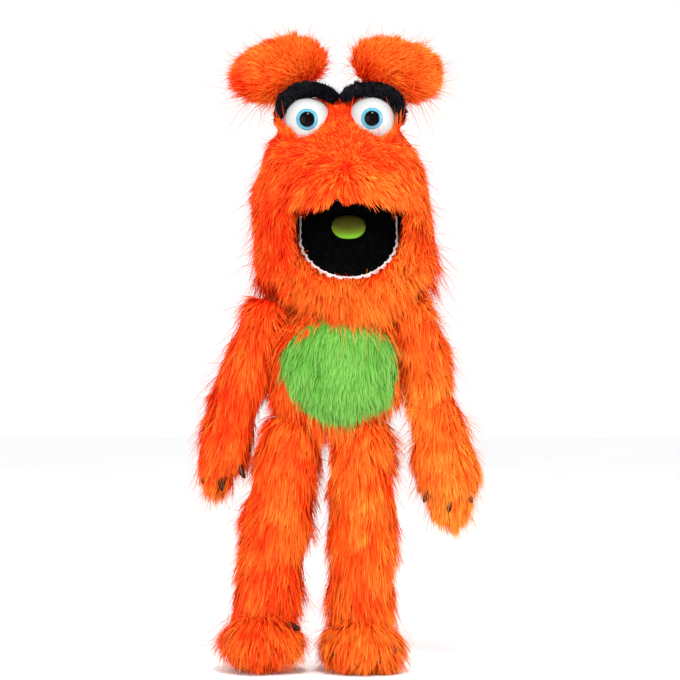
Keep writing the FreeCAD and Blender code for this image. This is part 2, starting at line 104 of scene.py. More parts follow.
IRIS_LOW, IRIS_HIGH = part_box("left_iris")
IRIS_RADIUS = (IRIS_HIGH.z - IRIS_LOW.z) / 2
BOARD_LOW, BOARD_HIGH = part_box("upper_mouth_board")
MOUTH_HALF = (BOARD_HIGH.x - BOARD_LOW.x) / 2
MOUTH_REACH = FOLD.y - BOARD_LOW.y
ROUND_FROM = MOUTH_REACH - MOUTH_HALF  # how far in front of the fold the boards' round end begins
LIP_HEIGHT = BOARD_HIGH.z


# ---- materials

def new_material(name, roughness, specular):
    """A material, its node tree and its shader."""
    material = bpy.data.materials.new(name)
    material.use_nodes = True
    tree = material.node_tree
    shader = tree.nodes["Principled BSDF"]
    shader.inputs["Roughness"].default_value = roughness
    shader.inputs["Specular IOR Level"].default_value = specular
    return material, tree, shader


def add(tree, kind, links=None, operation=None, **values):
    """A shader node with some inputs linked to outputs and others set."""
    node = tree.nodes.new("ShaderNode" + kind)
    if operation:
        node.operation = operation
    for name, value in values.items():
        node.inputs[name].default_value = value
    for name, output in (links or {}).items():
        tree.links.new(output, node.inputs[name])
    return node


def ramp(tree, factor, stops):
    """The colour that a factor gives along a ramp."""
    node = add(tree, "ValToRGB", {"Fac": factor})
    elements = node.color_ramp.elements
    while len(elements) < len(stops):
        elements.new(0.5)
    for element, (place, colour) in zip(elements, stops):
        element.position = place
        element.color = (*colour, 1)
    return node.outputs["Color"]


def mixed(tree, first, second, factor, blend="MIX"):
    """The second colour mixed into the first. Each input is an output of a node or a value."""
    node = tree.nodes.new("ShaderNodeMix")
    node.data_type = "RGBA"
    node.blend_type = blend
    for name, value in (("Factor", factor), ("A", first), ("B", second)):
        if isinstance(value, bpy.types.NodeSocket):
            tree.links.new(value, node.inputs[name])
        else:
            node.inputs[name].default_value = value
    return node.outputs["Result"]


def uv_values(tree):
    """The UV map, and its U and V apart."""
    uv = tree.nodes.new("ShaderNodeUVMap")
    uv.uv_map = UV_LAYER
    split = add(tree, "SeparateXYZ", {"Vector": uv.outputs["UV"]})
    return uv.outputs["UV"], split.outputs["X"], split.outputs["Y"]


def object_place(tree):
    return tree.nodes.new("ShaderNodeTexCoord").outputs["Object"]


def add_bump(tree, shader, height, strength, distance):
    lift = add(tree, "Bump", {"Height": height}, Strength=strength, Distance=distance)
    tree.links.new(lift.outputs["Normal"], shader.inputs["Normal"])


def add_coat(shader, weight, roughness):
    shader.inputs["Coat Weight"].default_value = weight
    shader.inputs["Coat Roughness"].default_value = roughness


def fur_material(name, root, body, tips):
    """Dark at the root, a painted shade deep in the pile, and light at the tip, a painted backlight through
    the thin ends; the strand's shade, its own tone and the painted light across the body, runs along U.

    body and tips are each a pair of colours, for the darkest and the lightest strands.
    """
    material, tree, shader = new_material(name, 0.62, 0.07)
    uv, shade, along = uv_values(tree)
    rooted = mixed(tree, ramp(tree, shade, [(0.0, body[0]), (1.0, body[1])]), (*root, 1),
                   ramp(tree, along, [(0.0, (1, 1, 1)), (0.45, (0, 0, 0))]))
    tipped = mixed(tree, rooted, ramp(tree, shade, [(0.0, tips[0]), (1.0, tips[1])]),
                   ramp(tree, along, [(0.35, (0, 0, 0)), (1.0, (0.85, 0.85, 0.85))]))
    streak = add(tree, "TexNoise", {"Vector": uv}, Scale=90.0)
    streaked = mixed(tree, tipped, streak.outputs["Color"], 0.25, "OVERLAY")
    tree.links.new(streaked, shader.inputs["Base Color"])
    return material


def cloth_material(name, dark, light, scale, bump, roughness=0.85, sheen=0.0, specular=0.2):
    """Felt, velour, foam or stuffing: a mottled colour over a fine fibrous bump."""
    material, tree, shader = new_material(name, roughness, specular)
    shader.inputs["Sheen Weight"].default_value = sheen
    place = object_place(tree)
    noise = add(tree, "TexNoise", {"Vector": place}, Scale=scale, Detail=6.0)
    mottle = ramp(tree, noise.outputs["Fac"], [(0.3, dark), (0.7, light)])
    tree.links.new(mottle, shader.inputs["Base Color"])
    if bump:
        fibre = add(tree, "TexNoise", {"Vector": place}, Scale=scale * 4)
        add_bump(tree, shader, fibre.outputs["Fac"], bump, 0.0006)
    return material


def weave_material(name, dark, light, pitch):
    """Plain woven tape or lining: two crossed bands of threads."""
    material, tree, shader = new_material(name, 0.8, 0.25)
    place = object_place(tree)
    product = add(tree, "Math", operation="MULTIPLY")
    for i, direction in enumerate(("X", "Z")):
        wave = add(tree, "TexWave", {"Vector": place}, Scale=1 / pitch, Distortion=0.6)
        wave.bands_direction = direction
        tree.links.new(wave.outputs["Fac"], product.inputs[i])
    tint = ramp(tree, product.outputs[0], [(0.1, dark), (0.8, light)])
    tree.links.new(tint, shader.inputs["Base Color"])
    add_bump(tree, shader, product.outputs[0], 0.4, 0.0003)
    return material


def plastic_material(name, dark, light, scale, roughness, coat=0.0, specular=0.5):
    """Plastic or leather with a faint mottle."""
    material, tree, shader = new_material(name, roughness, specular)
    add_coat(shader, coat, 0.03)
    noise = add(tree, "TexNoise", {"Vector": object_place(tree)}, Scale=scale)
    tint = ramp(tree, noise.outputs["Fac"], [(0.35, dark), (0.65, light)])
    tree.links.new(tint, shader.inputs["Base Color"])
    return material


def ringed_material(name, centre, stops, roughness, coat, specular):
    """Rings of colour about an axis along Y through centre; stops are in shares of the iris radius."""
    material, tree, shader = new_material(name, roughness, specular)
    add_coat(shader, coat, 0.02)
    flat = add(tree, "VectorMath", {0: object_place(tree)}, "MULTIPLY_ADD")
    size = 1 / IRIS_RADIUS
    flat.inputs[1].default_value = (size, 0, size)
    flat.inputs[2].default_value = (-centre.x * size, 0, -centre.z * size)
    far = add(tree, "VectorMath", {0: flat.outputs["Vector"]}, "LENGTH")
    ray_way = add(tree, "VectorMath", {0: flat.outputs["Vector"]}, "NORMALIZE")
    rays = add(tree, "TexNoise", {"Vector": ray_way.outputs["Vector"]}, Scale=14.0)
    rings = ramp(tree, far.outputs["Value"], stops)
    rayed = mixed(tree, rings, rays.outputs["Color"], 0.35, "OVERLAY")
    tree.links.new(rayed, shader.inputs["Base Color"])
    return material


def gradient_material(name, stops, roughness):
    """Felt whose colour runs along V, with a fine grain in the colour."""
    material, tree, shader = new_material(name, roughness, 0.15)
    uv, _, along = uv_values(tree)
    noise = add(tree, "TexNoise", {"Vector": uv}, Scale=60.0)
    grained = mixed(tree, ramp(tree, along, stops), noise.outputs["Color"], 0.3, "OVERLAY")
    tree.links.new(grained, shader.inputs["Base Color"])
    return material


# Each pile is darker at the root, painted shade deep in the pile, and lighter at the tip, painted backlight
# through the thin ends; the brows' lighter, bluer tips paint the plush's sheen.
ORANGE = fur_material("orange_pile", (0.74, 0.012, 0.0008), ((0.78, 0.012, 0.0005), (0.84, 0.13, 0.004)),
                      ((0.84, 0.03, 0.002), (0.90, 0.40, 0.05)))
GREEN = fur_material("green_pile", (0.05, 0.22, 0.015), ((0.07, 0.28, 0.025), (0.14, 0.40, 0.06)),
                     ((0.16, 0.40, 0.07), (0.24, 0.50, 0.10)))
BLACK = fur_material("brow_pile", (0.001, 0.001, 0.0015), ((0.001, 0.001, 0.002), (0.004, 0.004, 0.006)),
                     ((0.003, 0.003, 0.004), (0.012, 0.012, 0.018)))


# ---- meshes

def link(obj):
    bpy.context.scene.collection.objects.link(obj)
    return obj


def mesh_object(name, points, triangles, uv, material):
    """An object from arrays of points, triangles and one UV for each point."""
    mesh = bpy.data.meshes.new(name)
    mesh.vertices.add(len(points))
    mesh.vertices.foreach_set("co", np.ascontiguousarray(points, np.float32).ravel())
    mesh.loops.add(triangles.size)
    mesh.loops.foreach_set("vertex_index", triangles.ravel().astype(np.int32))
    mesh.polygons.add(len(triangles))
    mesh.polygons.foreach_set("loop_start", np.arange(0, triangles.size, 3, dtype=np.int32))
    mesh.polygons.foreach_set("use_smooth", np.full(len(triangles), True))
    layer = mesh.uv_layers.new(name=UV_LAYER)
    layer.data.foreach_set("uv", uv[triangles.ravel()].astype(np.float32).ravel())
    mesh.materials.append(material)
    mesh.update(calc_edges=True)
    return link(bpy.data.objects.new(name, mesh))


def node_triangles(node):
    """A CAD node's points and triangles."""
    mesh = frame["nodes"][node].data
    points = np.empty(len(mesh.vertices) * 3)
    mesh.vertices.foreach_get("co", points)
    mesh.calc_loop_triangles()
    triangles = np.empty(len(mesh.loop_triangles) * 3, np.int32)
    mesh.loop_triangles.foreach_get("vertices", triangles)
    return points.reshape(-1, 3), triangles.reshape(-1, 3)


def unit(vectors):
    return vectors / np.maximum(np.linalg.norm(vectors, axis=-1, keepdims=True), 1e-12)


def welded(points, triangles):
    """The same surface with the points along its seams joined, and the number of each kept point."""
    keys = np.round(points / 1e-5).astype(np.int64)
    _, first, back = np.unique(keys, axis=0, return_index=True, return_inverse=True)
    faces = back.reshape(-1)[triangles]
    whole = (faces[:, 0] != faces[:, 1]) & (faces[:, 1] != faces[:, 2]) & (faces[:, 0] != faces[:, 2])
    return points[first], faces[whole], first


def outside_of(node):
    """The part of a node's surface that looks out into the open, with smooth normals."""
    points, triangles, _ = welded(*node_triangles(node))
    a, b, c = (points[triangles[:, i]] for i in range(3))
    normals = np.cross(b - a, c - a)
    areas = np.linalg.norm(normals, axis=1) / 2
    at_points = np.zeros_like(points)
    for i in range(3):
        np.add.at(at_points, triangles[:, i], normals)
    at_points = unit(at_points)
    tree = BVHTree.FromPolygons(points.tolist(), triangles.tolist())
    flat = unit(normals)
    centres = (a + b + c) / 3
    free = np.array([tree.ray_cast(Vector(p + n * 2e-4), Vector(n), 0.3)[0] is None
                     for p, n in zip(centres, flat)])
    free &= areas > 1e-10
    return points, triangles[free], at_points, areas[free]


# ---- fur

TIMES = np.array([0.0, 0.3, 0.65, 1.0])
WIDTHS = np.array([0.9, 1.0, 0.7, 0.0])
STRAND_POINTS = 2 * (len(TIMES) - 1) + 1
STRAND_FACES = STRAND_POINTS - 2
LOCKS = ((15.0, 0.22), (5.5, 0.38))  # size in mm of each order of lock, and how far it draws together


def sample(surface, per_square_mm, rng):
    """Roots spread evenly over a surface, with the way each stands."""
    points, triangles, normals, areas = surface
    count = int(areas.sum() * 1e6 * per_square_mm)
    pick = rng.choice(len(triangles), count, p=areas / areas.sum())
    s, t = rng.random((2, count))
    flip = s + t > 1
    s[flip], t[flip] = 1 - s[flip], 1 - t[flip]
    weights = np.stack([1 - s - t, s, t], 1)[:, :, None]
    corners = triangles[pick]
    return (points[corners] * weights).sum(1), unit((normals[corners] * weights).sum(1))


def ripple(points, size, seed):
    """A smooth value from about -1 to 1 that wanders over the object."""
    rng = np.random.default_rng(seed)
    total = np.zeros(len(points))
    for _ in range(5):
        way = unit(rng.normal(size=3)) * 2 * math.pi / (size * rng.uniform(0.6, 1.5))
        total += np.sin(points @ way + rng.uniform(0, 6.3))
    return total / 2.6


def clumps(roots, size, rng):
    """A lock number for each root, from a jittered grid."""
    cells = np.floor((roots + rng.normal(scale=size * 0.2, size=roots.shape)) / size).astype(np.int64)
    _, number = np.unique(cells, axis=0, return_inverse=True)
    return number.reshape(-1)


def shortened(curves, roots, share):
    """Strands drawn back to a share of their length."""
    return roots[:, None] + (curves - roots[:, None]) * np.reshape(share, (-1, 1, 1))


def kept_near(curves, roots):
    """Shorten strands that would reach too far past the solid parts."""
    way = curves - roots[:, None]
    room = np.where(way > 0, FAR - roots[:, None], NEAR - roots[:, None])
    share = np.where(np.abs(way) > np.abs(room), np.abs(room) / np.maximum(np.abs(way), 1e-9), 1)
    return shortened(curves, roots, share.min(axis=(1, 2)))


def grow(roots, normals, flow, length, rng, width=1.0, lift=0.3, droop=0.45, frizz=0.05, gather=1.0,
         spread=0.1, wander=0.22, shade=0.5, keep=None):
    """Strands as tapering ribbons. Lengths and widths are in millimetres.

    Returns points, triangles and UVs. keep(curves, roots) may shorten or push strands.
    """
    count = len(roots)
    outward = (flow * normals).sum(1, keepdims=True)
    flow = unit(flow - normals * outward * np.where(outward > 0, 0.9, 1.0) + 1e-6)
    drift = np.stack([ripple(roots, 0.045, 71 + axis) for axis in range(3)], 1)
    locks = [clumps(roots, size * MM, rng) for size, _ in LOCKS]
    totals = [number.max() + 1 for number in locks]
    lean = sum(rng.normal(scale=spread, size=(total, 3))[number] for number, total in zip(locks, totals))
    lift = np.broadcast_to(lift, count)[:, None]
    heading = unit(normals * lift + flow * (1 - lift) + lean + drift * wander
                   + rng.normal(scale=frizz, size=(count, 3)))
    lengths = length * MM * rng.uniform(0.66, 1.12, count)
    lengths = lengths * rng.uniform(0.82, 1.16, totals[1])[locks[1]] * (1 + 0.12 * drift[:, 0])
    t = TIMES[None, :, None]
    curves = heading[:, None] * (t - droop * t * t / 2) + DOWN * (droop * t * t / 2)
    curves = roots[:, None] + curves * lengths[:, None, None]
    curves = curves + rng.normal(size=(count, 1, 3)) * (t ** 2) * frizz * lengths[:, None, None]
    for (_, share), number, total in zip(LOCKS, locks, totals):
        sizes = np.bincount(number, minlength=total)
        means = np.zeros((total, len(TIMES), 3))
        np.add.at(means, number, curves)
        means /= sizes[:, None, None]
        curves += (means[number] - curves) * share * gather * t ** 1.3
    if keep is not None:
        curves = keep(curves, roots)
    curves = kept_near(curves, roots)
    along = unit(curves[:, -1] - curves[:, 0])
    across = unit(np.cross(along, normals) + 1e-9)
    roll = rng.normal(scale=0.4, size=(count, 1))
    across = unit(across * np.cos(roll) + np.cross(along, across) * np.sin(roll))
    half = width * MM / 2 * rng.uniform(0.7, 1.3, count)
    offset = across[:, None] * half[:, None, None] * WIDTHS[None, :-1, None]
    left, right = curves[:, :-1] - offset, curves[:, :-1] + offset
    points = np.concatenate([np.stack([left, right], 2).reshape(count, -1, 3), curves[:, -1:]], 1)
    tip = [[STRAND_POINTS - 3, STRAND_POINTS - 2, STRAND_POINTS - 1]]
    pattern = np.concatenate([grid_faces(len(TIMES) - 1, 2), tip])
    triangles = (np.arange(count) * STRAND_POINTS)[:, None, None] + pattern[None]
    own = sum(rng.normal(scale=0.09, size=total)[number] for number, total in zip(locks, totals))
    u = np.clip(shade + own + rng.normal(scale=0.09, size=count), 0.02, 0.98)
    v = np.append(np.repeat(TIMES[:-1], 2), 1.0)
    uv = np.stack([np.repeat(u[:, None], STRAND_POINTS, 1), np.repeat(v[None], count, 0)], 2)
    return points.reshape(-1, 3), triangles.reshape(-1, 3), uv.reshape(-1, 2)


def skin(node):
    """The cloth that the pile grows from, in the pile's root colour, a painted shade for cloth deep under the
    pile.
    """
    points, triangles, _ = welded(*node_triangles(node))
    return points, triangles, np.tile([0.3, 0.12], (len(points), 1))


def joined(parts):
    """Several sets of points, triangles and UVs as one."""
    points, triangles, uv, start = [], [], [], 0
    for p, f, u in parts:
        points.append(p)
        triangles.append(f + start)
        uv.append(u)
        start += len(p)
    return np.concatenate(points), np.concatenate(triangles), np.concatenate(uv)


def placed(obj, body, slot, *nodes):
    """Attach a piece to its body's empty and hide the CAD nodes it stands for. The material slot is not used.
    """
    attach(obj, body)
    if nodes:
        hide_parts(*nodes)
    return obj


def furry(name, body, node, parts, slot="orange_fur", material=ORANGE):
    """One fur piece in place of a CAD node."""
    return placed(mesh_object(name, *joined([skin(node)] + parts), material), body, slot, node)


# Which way the pile lies

def slant(sideways):
    def flow(points, _normals):
        return np.tile(DOWN + np.array([sideways, 0, 0]), (len(points), 1))
    return flow


def radiate(centre, pull):
    """Away from a point, drooping by pull."""
    def flow(points, _normals):
        return unit(points - np.array(centre)) + DOWN * pull
    return flow


def beside_mouth(points):
    """From 0 to 1: how near a point of the cheeks is to the gap beside the jaw."""
    gap = np.abs(points[:, 0] - FOLD.x) - MOUTH_HALF
    below = LIP_HEIGHT - points[:, 2]
    return np.clip((36 * MM - gap) / (16 * MM), 0, 1) * np.clip(below / (12 * MM), 0, 1)


def under_eyes(points):
    """From 0 to 1: how near a point is to the lower half of an eye."""
    total = np.zeros(len(points))
    for centre, radius in EYES:
        across = (points[:, 0] - centre.x) / (radius * 1.05)
        low = (centre.z - points[:, 2]) / radius
        total += np.exp(-across ** 4) * np.clip((1.75 - low) / 0.4, 0, 1) * (low > 0.1)
    return np.clip(total, 0, 1)


def head_flow(points, normals):
    """Up between the eyes, back over the crown, out over the muzzle and cheeks, and down.

    Beside the jaw it turns inward, to cover the gaps there.
    """
    across = (points[:, 0] - FOLD.x * 0.5) / (45 * MM)
    above = (points[:, 2] - NOSE_HEIGHT) / (14 * MM)
    bridge = np.exp(-(across * 2.0) ** 2) / (1 + np.exp(-np.clip(above, -30, 30)))
    front = np.clip((-normals[:, 1] + 0.35) * 1.5, 0, 1)
    lifted = np.clip(bridge + under_eyes(points), 0, 1) * (normals[:, 1] < 0)
    inward = beside_mouth(points) * (normals[:, 1] < 0.3)
    flow = np.zeros_like(points)
    flow[:, 0] = np.tanh(across * 1.3) * (0.35 + 0.5 * front) * (1 - inward)
    flow[:, 0] -= np.sign(across) * 0.9 * inward
    flow[:, 1] = 0.9 * np.clip(normals[:, 2], 0, 1) - 0.2 * inward
    flow[:, 2] = -0.8 + 1.6 * lifted
    return flow


def shade_with_painted_light(points, base=0.45, painted_light_amount=0.45, seed=5):
    """Lighter towards +X, a painted light falling from that side, with soft patches of tone that vary at
    random.
    """
    low, high = CAD_BOUNDS
    across = (points[:, 0] - low.x) / (high.x - low.x)
    return base + painted_light_amount * (across - 0.5) + 0.13 * ripple(points, 0.05, seed)


EYES = [eye_centre(side) for side in SIDES]
NOSE_HEIGHT = EYES[0][0].z - 31 * MM


EYE_GAP = 0.8 * MM


def clear_eyes(curves, roots):
    """Push strands out of the eye balls, and shorten those that would cover more than an eye's foot."""
    for centre, radius in EYES:
        middle_of_eye = np.array(centre)
        flat = curves[:, -1] - middle_of_eye
        over = (np.hypot(flat[:, 0], flat[:, 2]) < radius * 1.02) & (flat[:, 1] < 0)
        over &= flat[:, 2] > -radius * 0.16
        curves[over] = shortened(curves[over], roots[over], 0.3)
        gap = curves - middle_of_eye
        far = np.linalg.norm(gap, axis=2, keepdims=True)
        pushed = middle_of_eye + gap / np.maximum(far, 1e-9) * (radius + EYE_GAP)
        curves = np.where(far < radius + EYE_GAP, pushed, curves)
    return curves


def lip_edge(x, roots):
    """The height of the moustache's ragged lower edge; x is in halves of the mouth's width."""
    notch = 11 * np.exp(-((x + 0.27) / 0.09) ** 2)
    drop = 5 + 20 * np.abs(x) ** 2.4 - notch
    return LIP_HEIGHT - drop * MM + 5 * MM * ripple(roots, 0.016, 12)


def clear_mouth(curves, roots):
    """Keep the moustache above the mouth, and the cheeks' pile outside it."""
    ends = curves[:, -1]
    x = (ends[:, 0] - FOLD.x) / MOUTH_HALF
    above = roots[:, 2] - lip_edge(x, roots)
    drop = roots[:, 2] - ends[:, 2]
    front = roots[:, 1] < FOLD.y
    reach = np.where((np.abs(x) < 1.0) & front & (drop > above),
                     np.clip(above / np.maximum(drop, 1e-6), 0.15, 1), 1)
    down = (FOLD.z - ends[:, 2]) / math.sin(OPEN_ANGLE)
    edge = np.where(down < MOUTH_REACH, half_width(down), 0) + 3 * MM
    root_out, end_out = np.abs(roots[:, 0] - FOLD.x), np.abs(ends[:, 0] - FOLD.x)
    cheek = front & (root_out > MOUTH_HALF + 8 * MM) & (ends[:, 2] < LIP_HEIGHT) & (end_out < edge)
    allowed = (root_out - edge) / np.maximum(root_out - end_out, 1e-6)
    reach = np.where(cheek, np.minimum(reach, np.clip(allowed, 0.1, 1)), reach)
    return shortened(curves, roots, reach)


def head_rules(curves, roots):
    return clear_mouth(clear_eyes(curves, roots), roots)


def in_mouth(roots, normals):
    """Roots on the walls that the jaw moves between, or above the upper board."""
    near = np.abs(roots[:, 0] - FOLD.x) < MOUTH_HALF + 11.5 * MM
    low = roots[:, 2] < LIP_HEIGHT + 1.2 * MM
    walls = (roots[:, 1] > BOARD_LOW.y + 4 * MM) & (normals[:, 1] < 0.4)
    return near & low & ((normals[:, 2] < -0.8) | walls)


LAYERS = (  # share of the strands, and their scale, width in mm, stray and lift
    (0.40, 0.75, 1.5, 1.0, 0.0),
    (0.54, 1.00, 0.9, 1.0, 0.0),
    (0.06, 1.25, 0.5, 3.0, 0.12),
)


def coat(node, seed, per_square_mm, length, flow, keep=None, drop=None, base=0.45, lift=0.3,
         frizz_share=1.0, **settings):
    """The pile of a node or a ready surface: a dense lower coat, longer strands and a few loose ones."""
    rng = np.random.default_rng(seed)
    surface = outside_of(node) if isinstance(node, str) else node
    parts = []
    for share, scale, width, stray, up in LAYERS:
        roots, normals = sample(surface, per_square_mm * share, rng)
        if drop is not None:
            stay = ~drop(roots, normals)
            roots, normals = roots[stay], normals[stay]
        long = length(roots, normals) if callable(length) else length
        shade = base(roots) if callable(base) else shade_with_painted_light(roots, base)
        parts.append(grow(roots, normals, flow(roots, normals), long * scale, rng, width=width,
                          shade=shade, keep=keep, gather=1 / stray, frizz=0.05 * stray * frizz_share,
                          lift=lift + up, **settings))
    return parts


def by_height(node, heights, lengths):
    """Pile lengths in mm that change from the foot of a node's box, 0, to its top, 1."""
    def length(points, _normals):
        return np.interp(height_in(node, points), heights, lengths)
    return length


def head_length(points, normals):
    """Short on the crown and round the eyes, longer on the cheeks, longest over the shoulders."""
    long = np.interp(height_in("head_fur", points), [0, 0.07, 0.16, 0.35, 0.6, 0.8, 1],
                     [74, 62, 44, 29, 24, 19, 17])
    for centre, radius in EYES:
        gap = points - np.array(centre)
        near = np.clip((np.hypot(gap[:, 0], gap[:, 2]) - radius) / (16 * MM), 0, 1)
        long = np.where(normals[:, 1] < 0, np.minimum(long, 11 + 16 * near), long)
    return np.maximum(long, 21 * under_eyes(points) * (normals[:, 1] < 0))


SKIRT_POINTS = 29
SKIRT_RINGS = (1.02, 1.12, 1.22)  # in eye radii


def eye_skirt():
    """A crescent under the foot of each eye, facing forward, for the pile that rises over the eye."""
    turn = np.radians(np.linspace(200, 340, SKIRT_POINTS))
    way = np.stack([np.cos(turn), np.full(SKIRT_POINTS, -0.45), np.sin(turn)], 1)
    grids = []
    for centre, radius in EYES:
        grids.append(np.concatenate([np.array(centre) + way * radius * ring for ring in SKIRT_RINGS]))
    points = np.concatenate(grids)
    faces = grid_faces(len(SKIRT_RINGS), SKIRT_POINTS)
    triangles = np.concatenate([faces, faces + len(grids[0])])
    return points, triangles, np.tile([0.0, -1.0, 0.0], (len(points), 1)), triangle_areas(points, triangles)


def skirt_flow(points, _normals):
    """Up over the eye, leaning away from the nose."""
    lean = 0.35 * np.sign(points[:, 0] - FOLD.x * 0.5)
    return np.stack([lean, np.zeros(len(points)), np.ones(len(points))], 1)


def build_head():
    skirt = coat(eye_skirt(), 12, 3.0, 25, skirt_flow, clear_eyes, base=0.31, lift=0.15, droop=0.0,
                 frizz_share=2.0)
    parts = skirt + coat("head_fur", 11, 0.6, head_length, head_flow, head_rules, in_mouth, base=0.29,
                         lift=0.26)
    low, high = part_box("head_fur")
    half_way = (low.y + high.y) / 2
    for number, name in enumerate(("head_back_pile", "head_left_pile", "head_right_pile")):
        panel = []
        for points, triangles, uv in parts:
            roots = points.reshape(-1, STRAND_POINTS, 3)[:, 0]
            side = np.where(roots[:, 1] > half_way, 0, np.where(roots[:, 0] < FOLD.x, 1, 2))
            inside = np.repeat(side == number, STRAND_POINTS)
            count = np.count_nonzero(side == number)
            panel.append((points[inside], triangles[:count * STRAND_FACES], uv[inside]))
        if number == 0:
            furry(name, "head", "head_fur", panel)
        else:
            placed(mesh_object(name, *joined(panel), ORANGE), "head", "orange_fur")


def under_belly(roots, _normals):
    low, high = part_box("belly_patch")
    centre, half = (low + high) / 2, (high - low) / 2
    x = (roots[:, 0] - centre.x) / half.x
    z = (roots[:, 2] - centre.z) / half.z
    return (x * x + z * z < 0.9) & (roots[:, 1] < centre.y + half.y)


def belly_flow(points, _normals):
    """Down, but fanning up and out along the patch's upper edge."""
    low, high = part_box("belly_patch")
    across = (points[:, 0] - (low.x + high.x) / 2) / (high.x - low.x)
    lifted = np.clip((height_in("belly_patch", points) - 0.9) / 0.1, 0, 1)
    return np.stack([across * 0.3, np.zeros(len(points)), -1 + 1.6 * lifted], 1)


def body_flow(points, normals):
    """Down, but up and out round the neck."""
    out = points - np.array(middle("body_fur"))
    out[:, 2] = 0
    over = np.clip(normals[:, 2] - 0.2, 0, 1)[:, None]
    return unit(out) * over * 1.2 + DOWN * (1 - 2.2 * over)


def build_torso():
    length = by_height("body_fur", [0, 0.25, 0.7, 1], [44, 36, 30, 44])
    parts = coat("body_fur", 21, 0.5, length, body_flow, None, under_belly, base=0.38, lift=0.24,
                 droop=0.6)
    furry("body_pile", "torso", "body_fur", parts)
    length = by_height("belly_patch", [0, 0.3, 0.85, 1], [27, 28, 30, 14])
    parts = coat("belly_patch", 22, 0.9, length, belly_flow, base=0.5, lift=0.2, droop=0.6)
    furry("belly_pile", "torso", "belly_patch", parts, "green_fur", GREEN)


# The jaw's own frame: x across, y back and z up, measured from the fold with the mouth shut

LOWER_FACE = -4 * MM
UPPER_FACE = 3 * MM
TEETH_OUT = 3 * MM

def pitched(points, angle):
    """Points turned about the X axis."""
    y, z = points[..., 1], points[..., 2]
    return np.stack([points[..., 0], y * math.cos(angle) - z * math.sin(angle),
                     y * math.sin(angle) + z * math.cos(angle)], -1)


def from_jaw(local):
    """Jaw points, in metres, where the open jaw is."""
    return pitched(np.asarray(local, float), OPEN_ANGLE) + np.array(FOLD)


def to_jaw(points):
    return pitched(points - np.array(FOLD), -OPEN_ANGLE)


def past_lips(local):
    """How far a jaw point stands outside the D shape of the boards."""
    across, ahead = local[..., 0], local[..., 1] + ROUND_FROM
    return np.where(ahead > 0, np.abs(across), np.hypot(across, ahead)) - MOUTH_HALF


def clear_teeth(curves, roots):
    """Keep the chin's pile outside the teeth and out of the mouth."""
    local = to_jaw(curves)
    out = past_lips(local)
    above = local[..., 2] > LOWER_FACE - 3 * MM
    inside = (out < TEETH_OUT) & above
    worst = inside.any(axis=1)
    curves[worst] = shortened(curves[worst], roots[worst], 0.12)
    return curves


def jaw_length(points, _normals):
    """Short at the lip and long under the chin."""
    below = LOWER_FACE - to_jaw(points)[:, 2]
    return np.interp(below / MM, [0, 6, 20], [20, 42, 54])


def jaw_flow(points, _normals):
    """Away from the mouth all round, and falling under the chin."""
    local = to_jaw(points)
    out = np.stack([local[:, 0], local[:, 1] + ROUND_FROM, np.zeros(len(points))], 1)
    return pitched(unit(out), OPEN_ANGLE) + DOWN * 0.45


def build_jaw():
    parts = coat("jaw_fur", 31, 0.9, jaw_length, jaw_flow, clear_teeth, base=0.47, lift=0.26)
    furry("jaw_pile", "jaw", "jaw_fur", parts)


def build_ears():
    """The ears, with a pile that is longest where it falls over the brow."""
    for i, side in enumerate(SIDES):
        node = side + "_ear_fur"
        low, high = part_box(node)
        inner, outer = (high.x, low.x) if side == "left" else (low.x, high.x)
        base = (inner * 0.96 + outer * 0.04, (low.y + high.y) / 2, low.z * 0.8 + high.z * 0.2)
        length = by_height(node, [0, 0.3, 0.7, 1], [30, 25, 20, 15])
        parts = coat(node, 41 + i, 1.5, length, radiate(base, 0.0), base=0.46 - 0.1 * i, lift=0.27,
                     droop=0.1, frizz_share=2.6, spread=0.16)
        obj = furry(side + "_ear_pile", side + "_ear", node, parts)


# Each part's body, strands per square mm, length at its top and bottom, lift, shade and gain of
# painted backlight towards its lower end
LIMBS = {
    "arm": ("arm", 0.60, 36, 36, 0.24, 0.38, 0.05),
    "hand": ("arm", 0.80, 36, 34, 0.14, 0.40, 0.45),
    "leg": ("leg", 0.50, 34, 46, 0.2, 0.42, 0.0),
    "foot": ("foot", 0.85, 42, 28, 0.2, 0.45, 0.12),
}
BELOW_SOLES = 5 * MM


def on_floor(curves, _roots):
    """Keep strands from reaching far below the level of the soles."""
    curves[:, :, 2] = np.maximum(curves[:, :, 2], CAD_BOUNDS[0].z - BELOW_SOLES)
    return curves


def limb_shade_with_painted_backlight(node, base, painted_backlight_gain):
    """A shade that lightens towards the lower end of a node: painted backlight showing through the thin pile
    at a limb's end.
    """
    def shade(points):
        return shade_with_painted_light(points, base) + painted_backlight_gain * (1 - height_in(node, points)) ** 2
    return shade


def build_limbs():
    for i, side in enumerate(SIDES):
        for j, (part, (body, density, top, bottom, lift, base, painted_backlight_gain)) in enumerate(LIMBS.items()):
            node = f"{side}_{part}_fur"
            flow = slant(-0.3 if side == "left" else 0.04)
            if part == "foot":
                low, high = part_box(node)
                flow = radiate(((low.x + high.x) / 2, high.y - 24 * MM, high.z), 1.1)
            parts = coat(node, 51 + 10 * i + j, density, by_height(node, [0, 1], [bottom, top]), flow,
                         on_floor, base=limb_shade_with_painted_backlight(node, base, painted_backlight_gain), lift=lift, droop=0.5)
            obj = furry(f"{side}_{part}_pile", f"{side}_{body}", node, parts)


# ---- smooth pieces

def grid_faces(rows, columns, closed=False):
    """Triangles over a grid of points, row by row."""
    wrap = columns if closed else columns - 1
    faces = []
    for i in range(rows - 1):
        for j in range(wrap):
            a, b = i * columns + j, i * columns + (j + 1) % columns
            faces += [(a, b, b + columns), (a, b + columns, a + columns)]
    return np.array(faces)


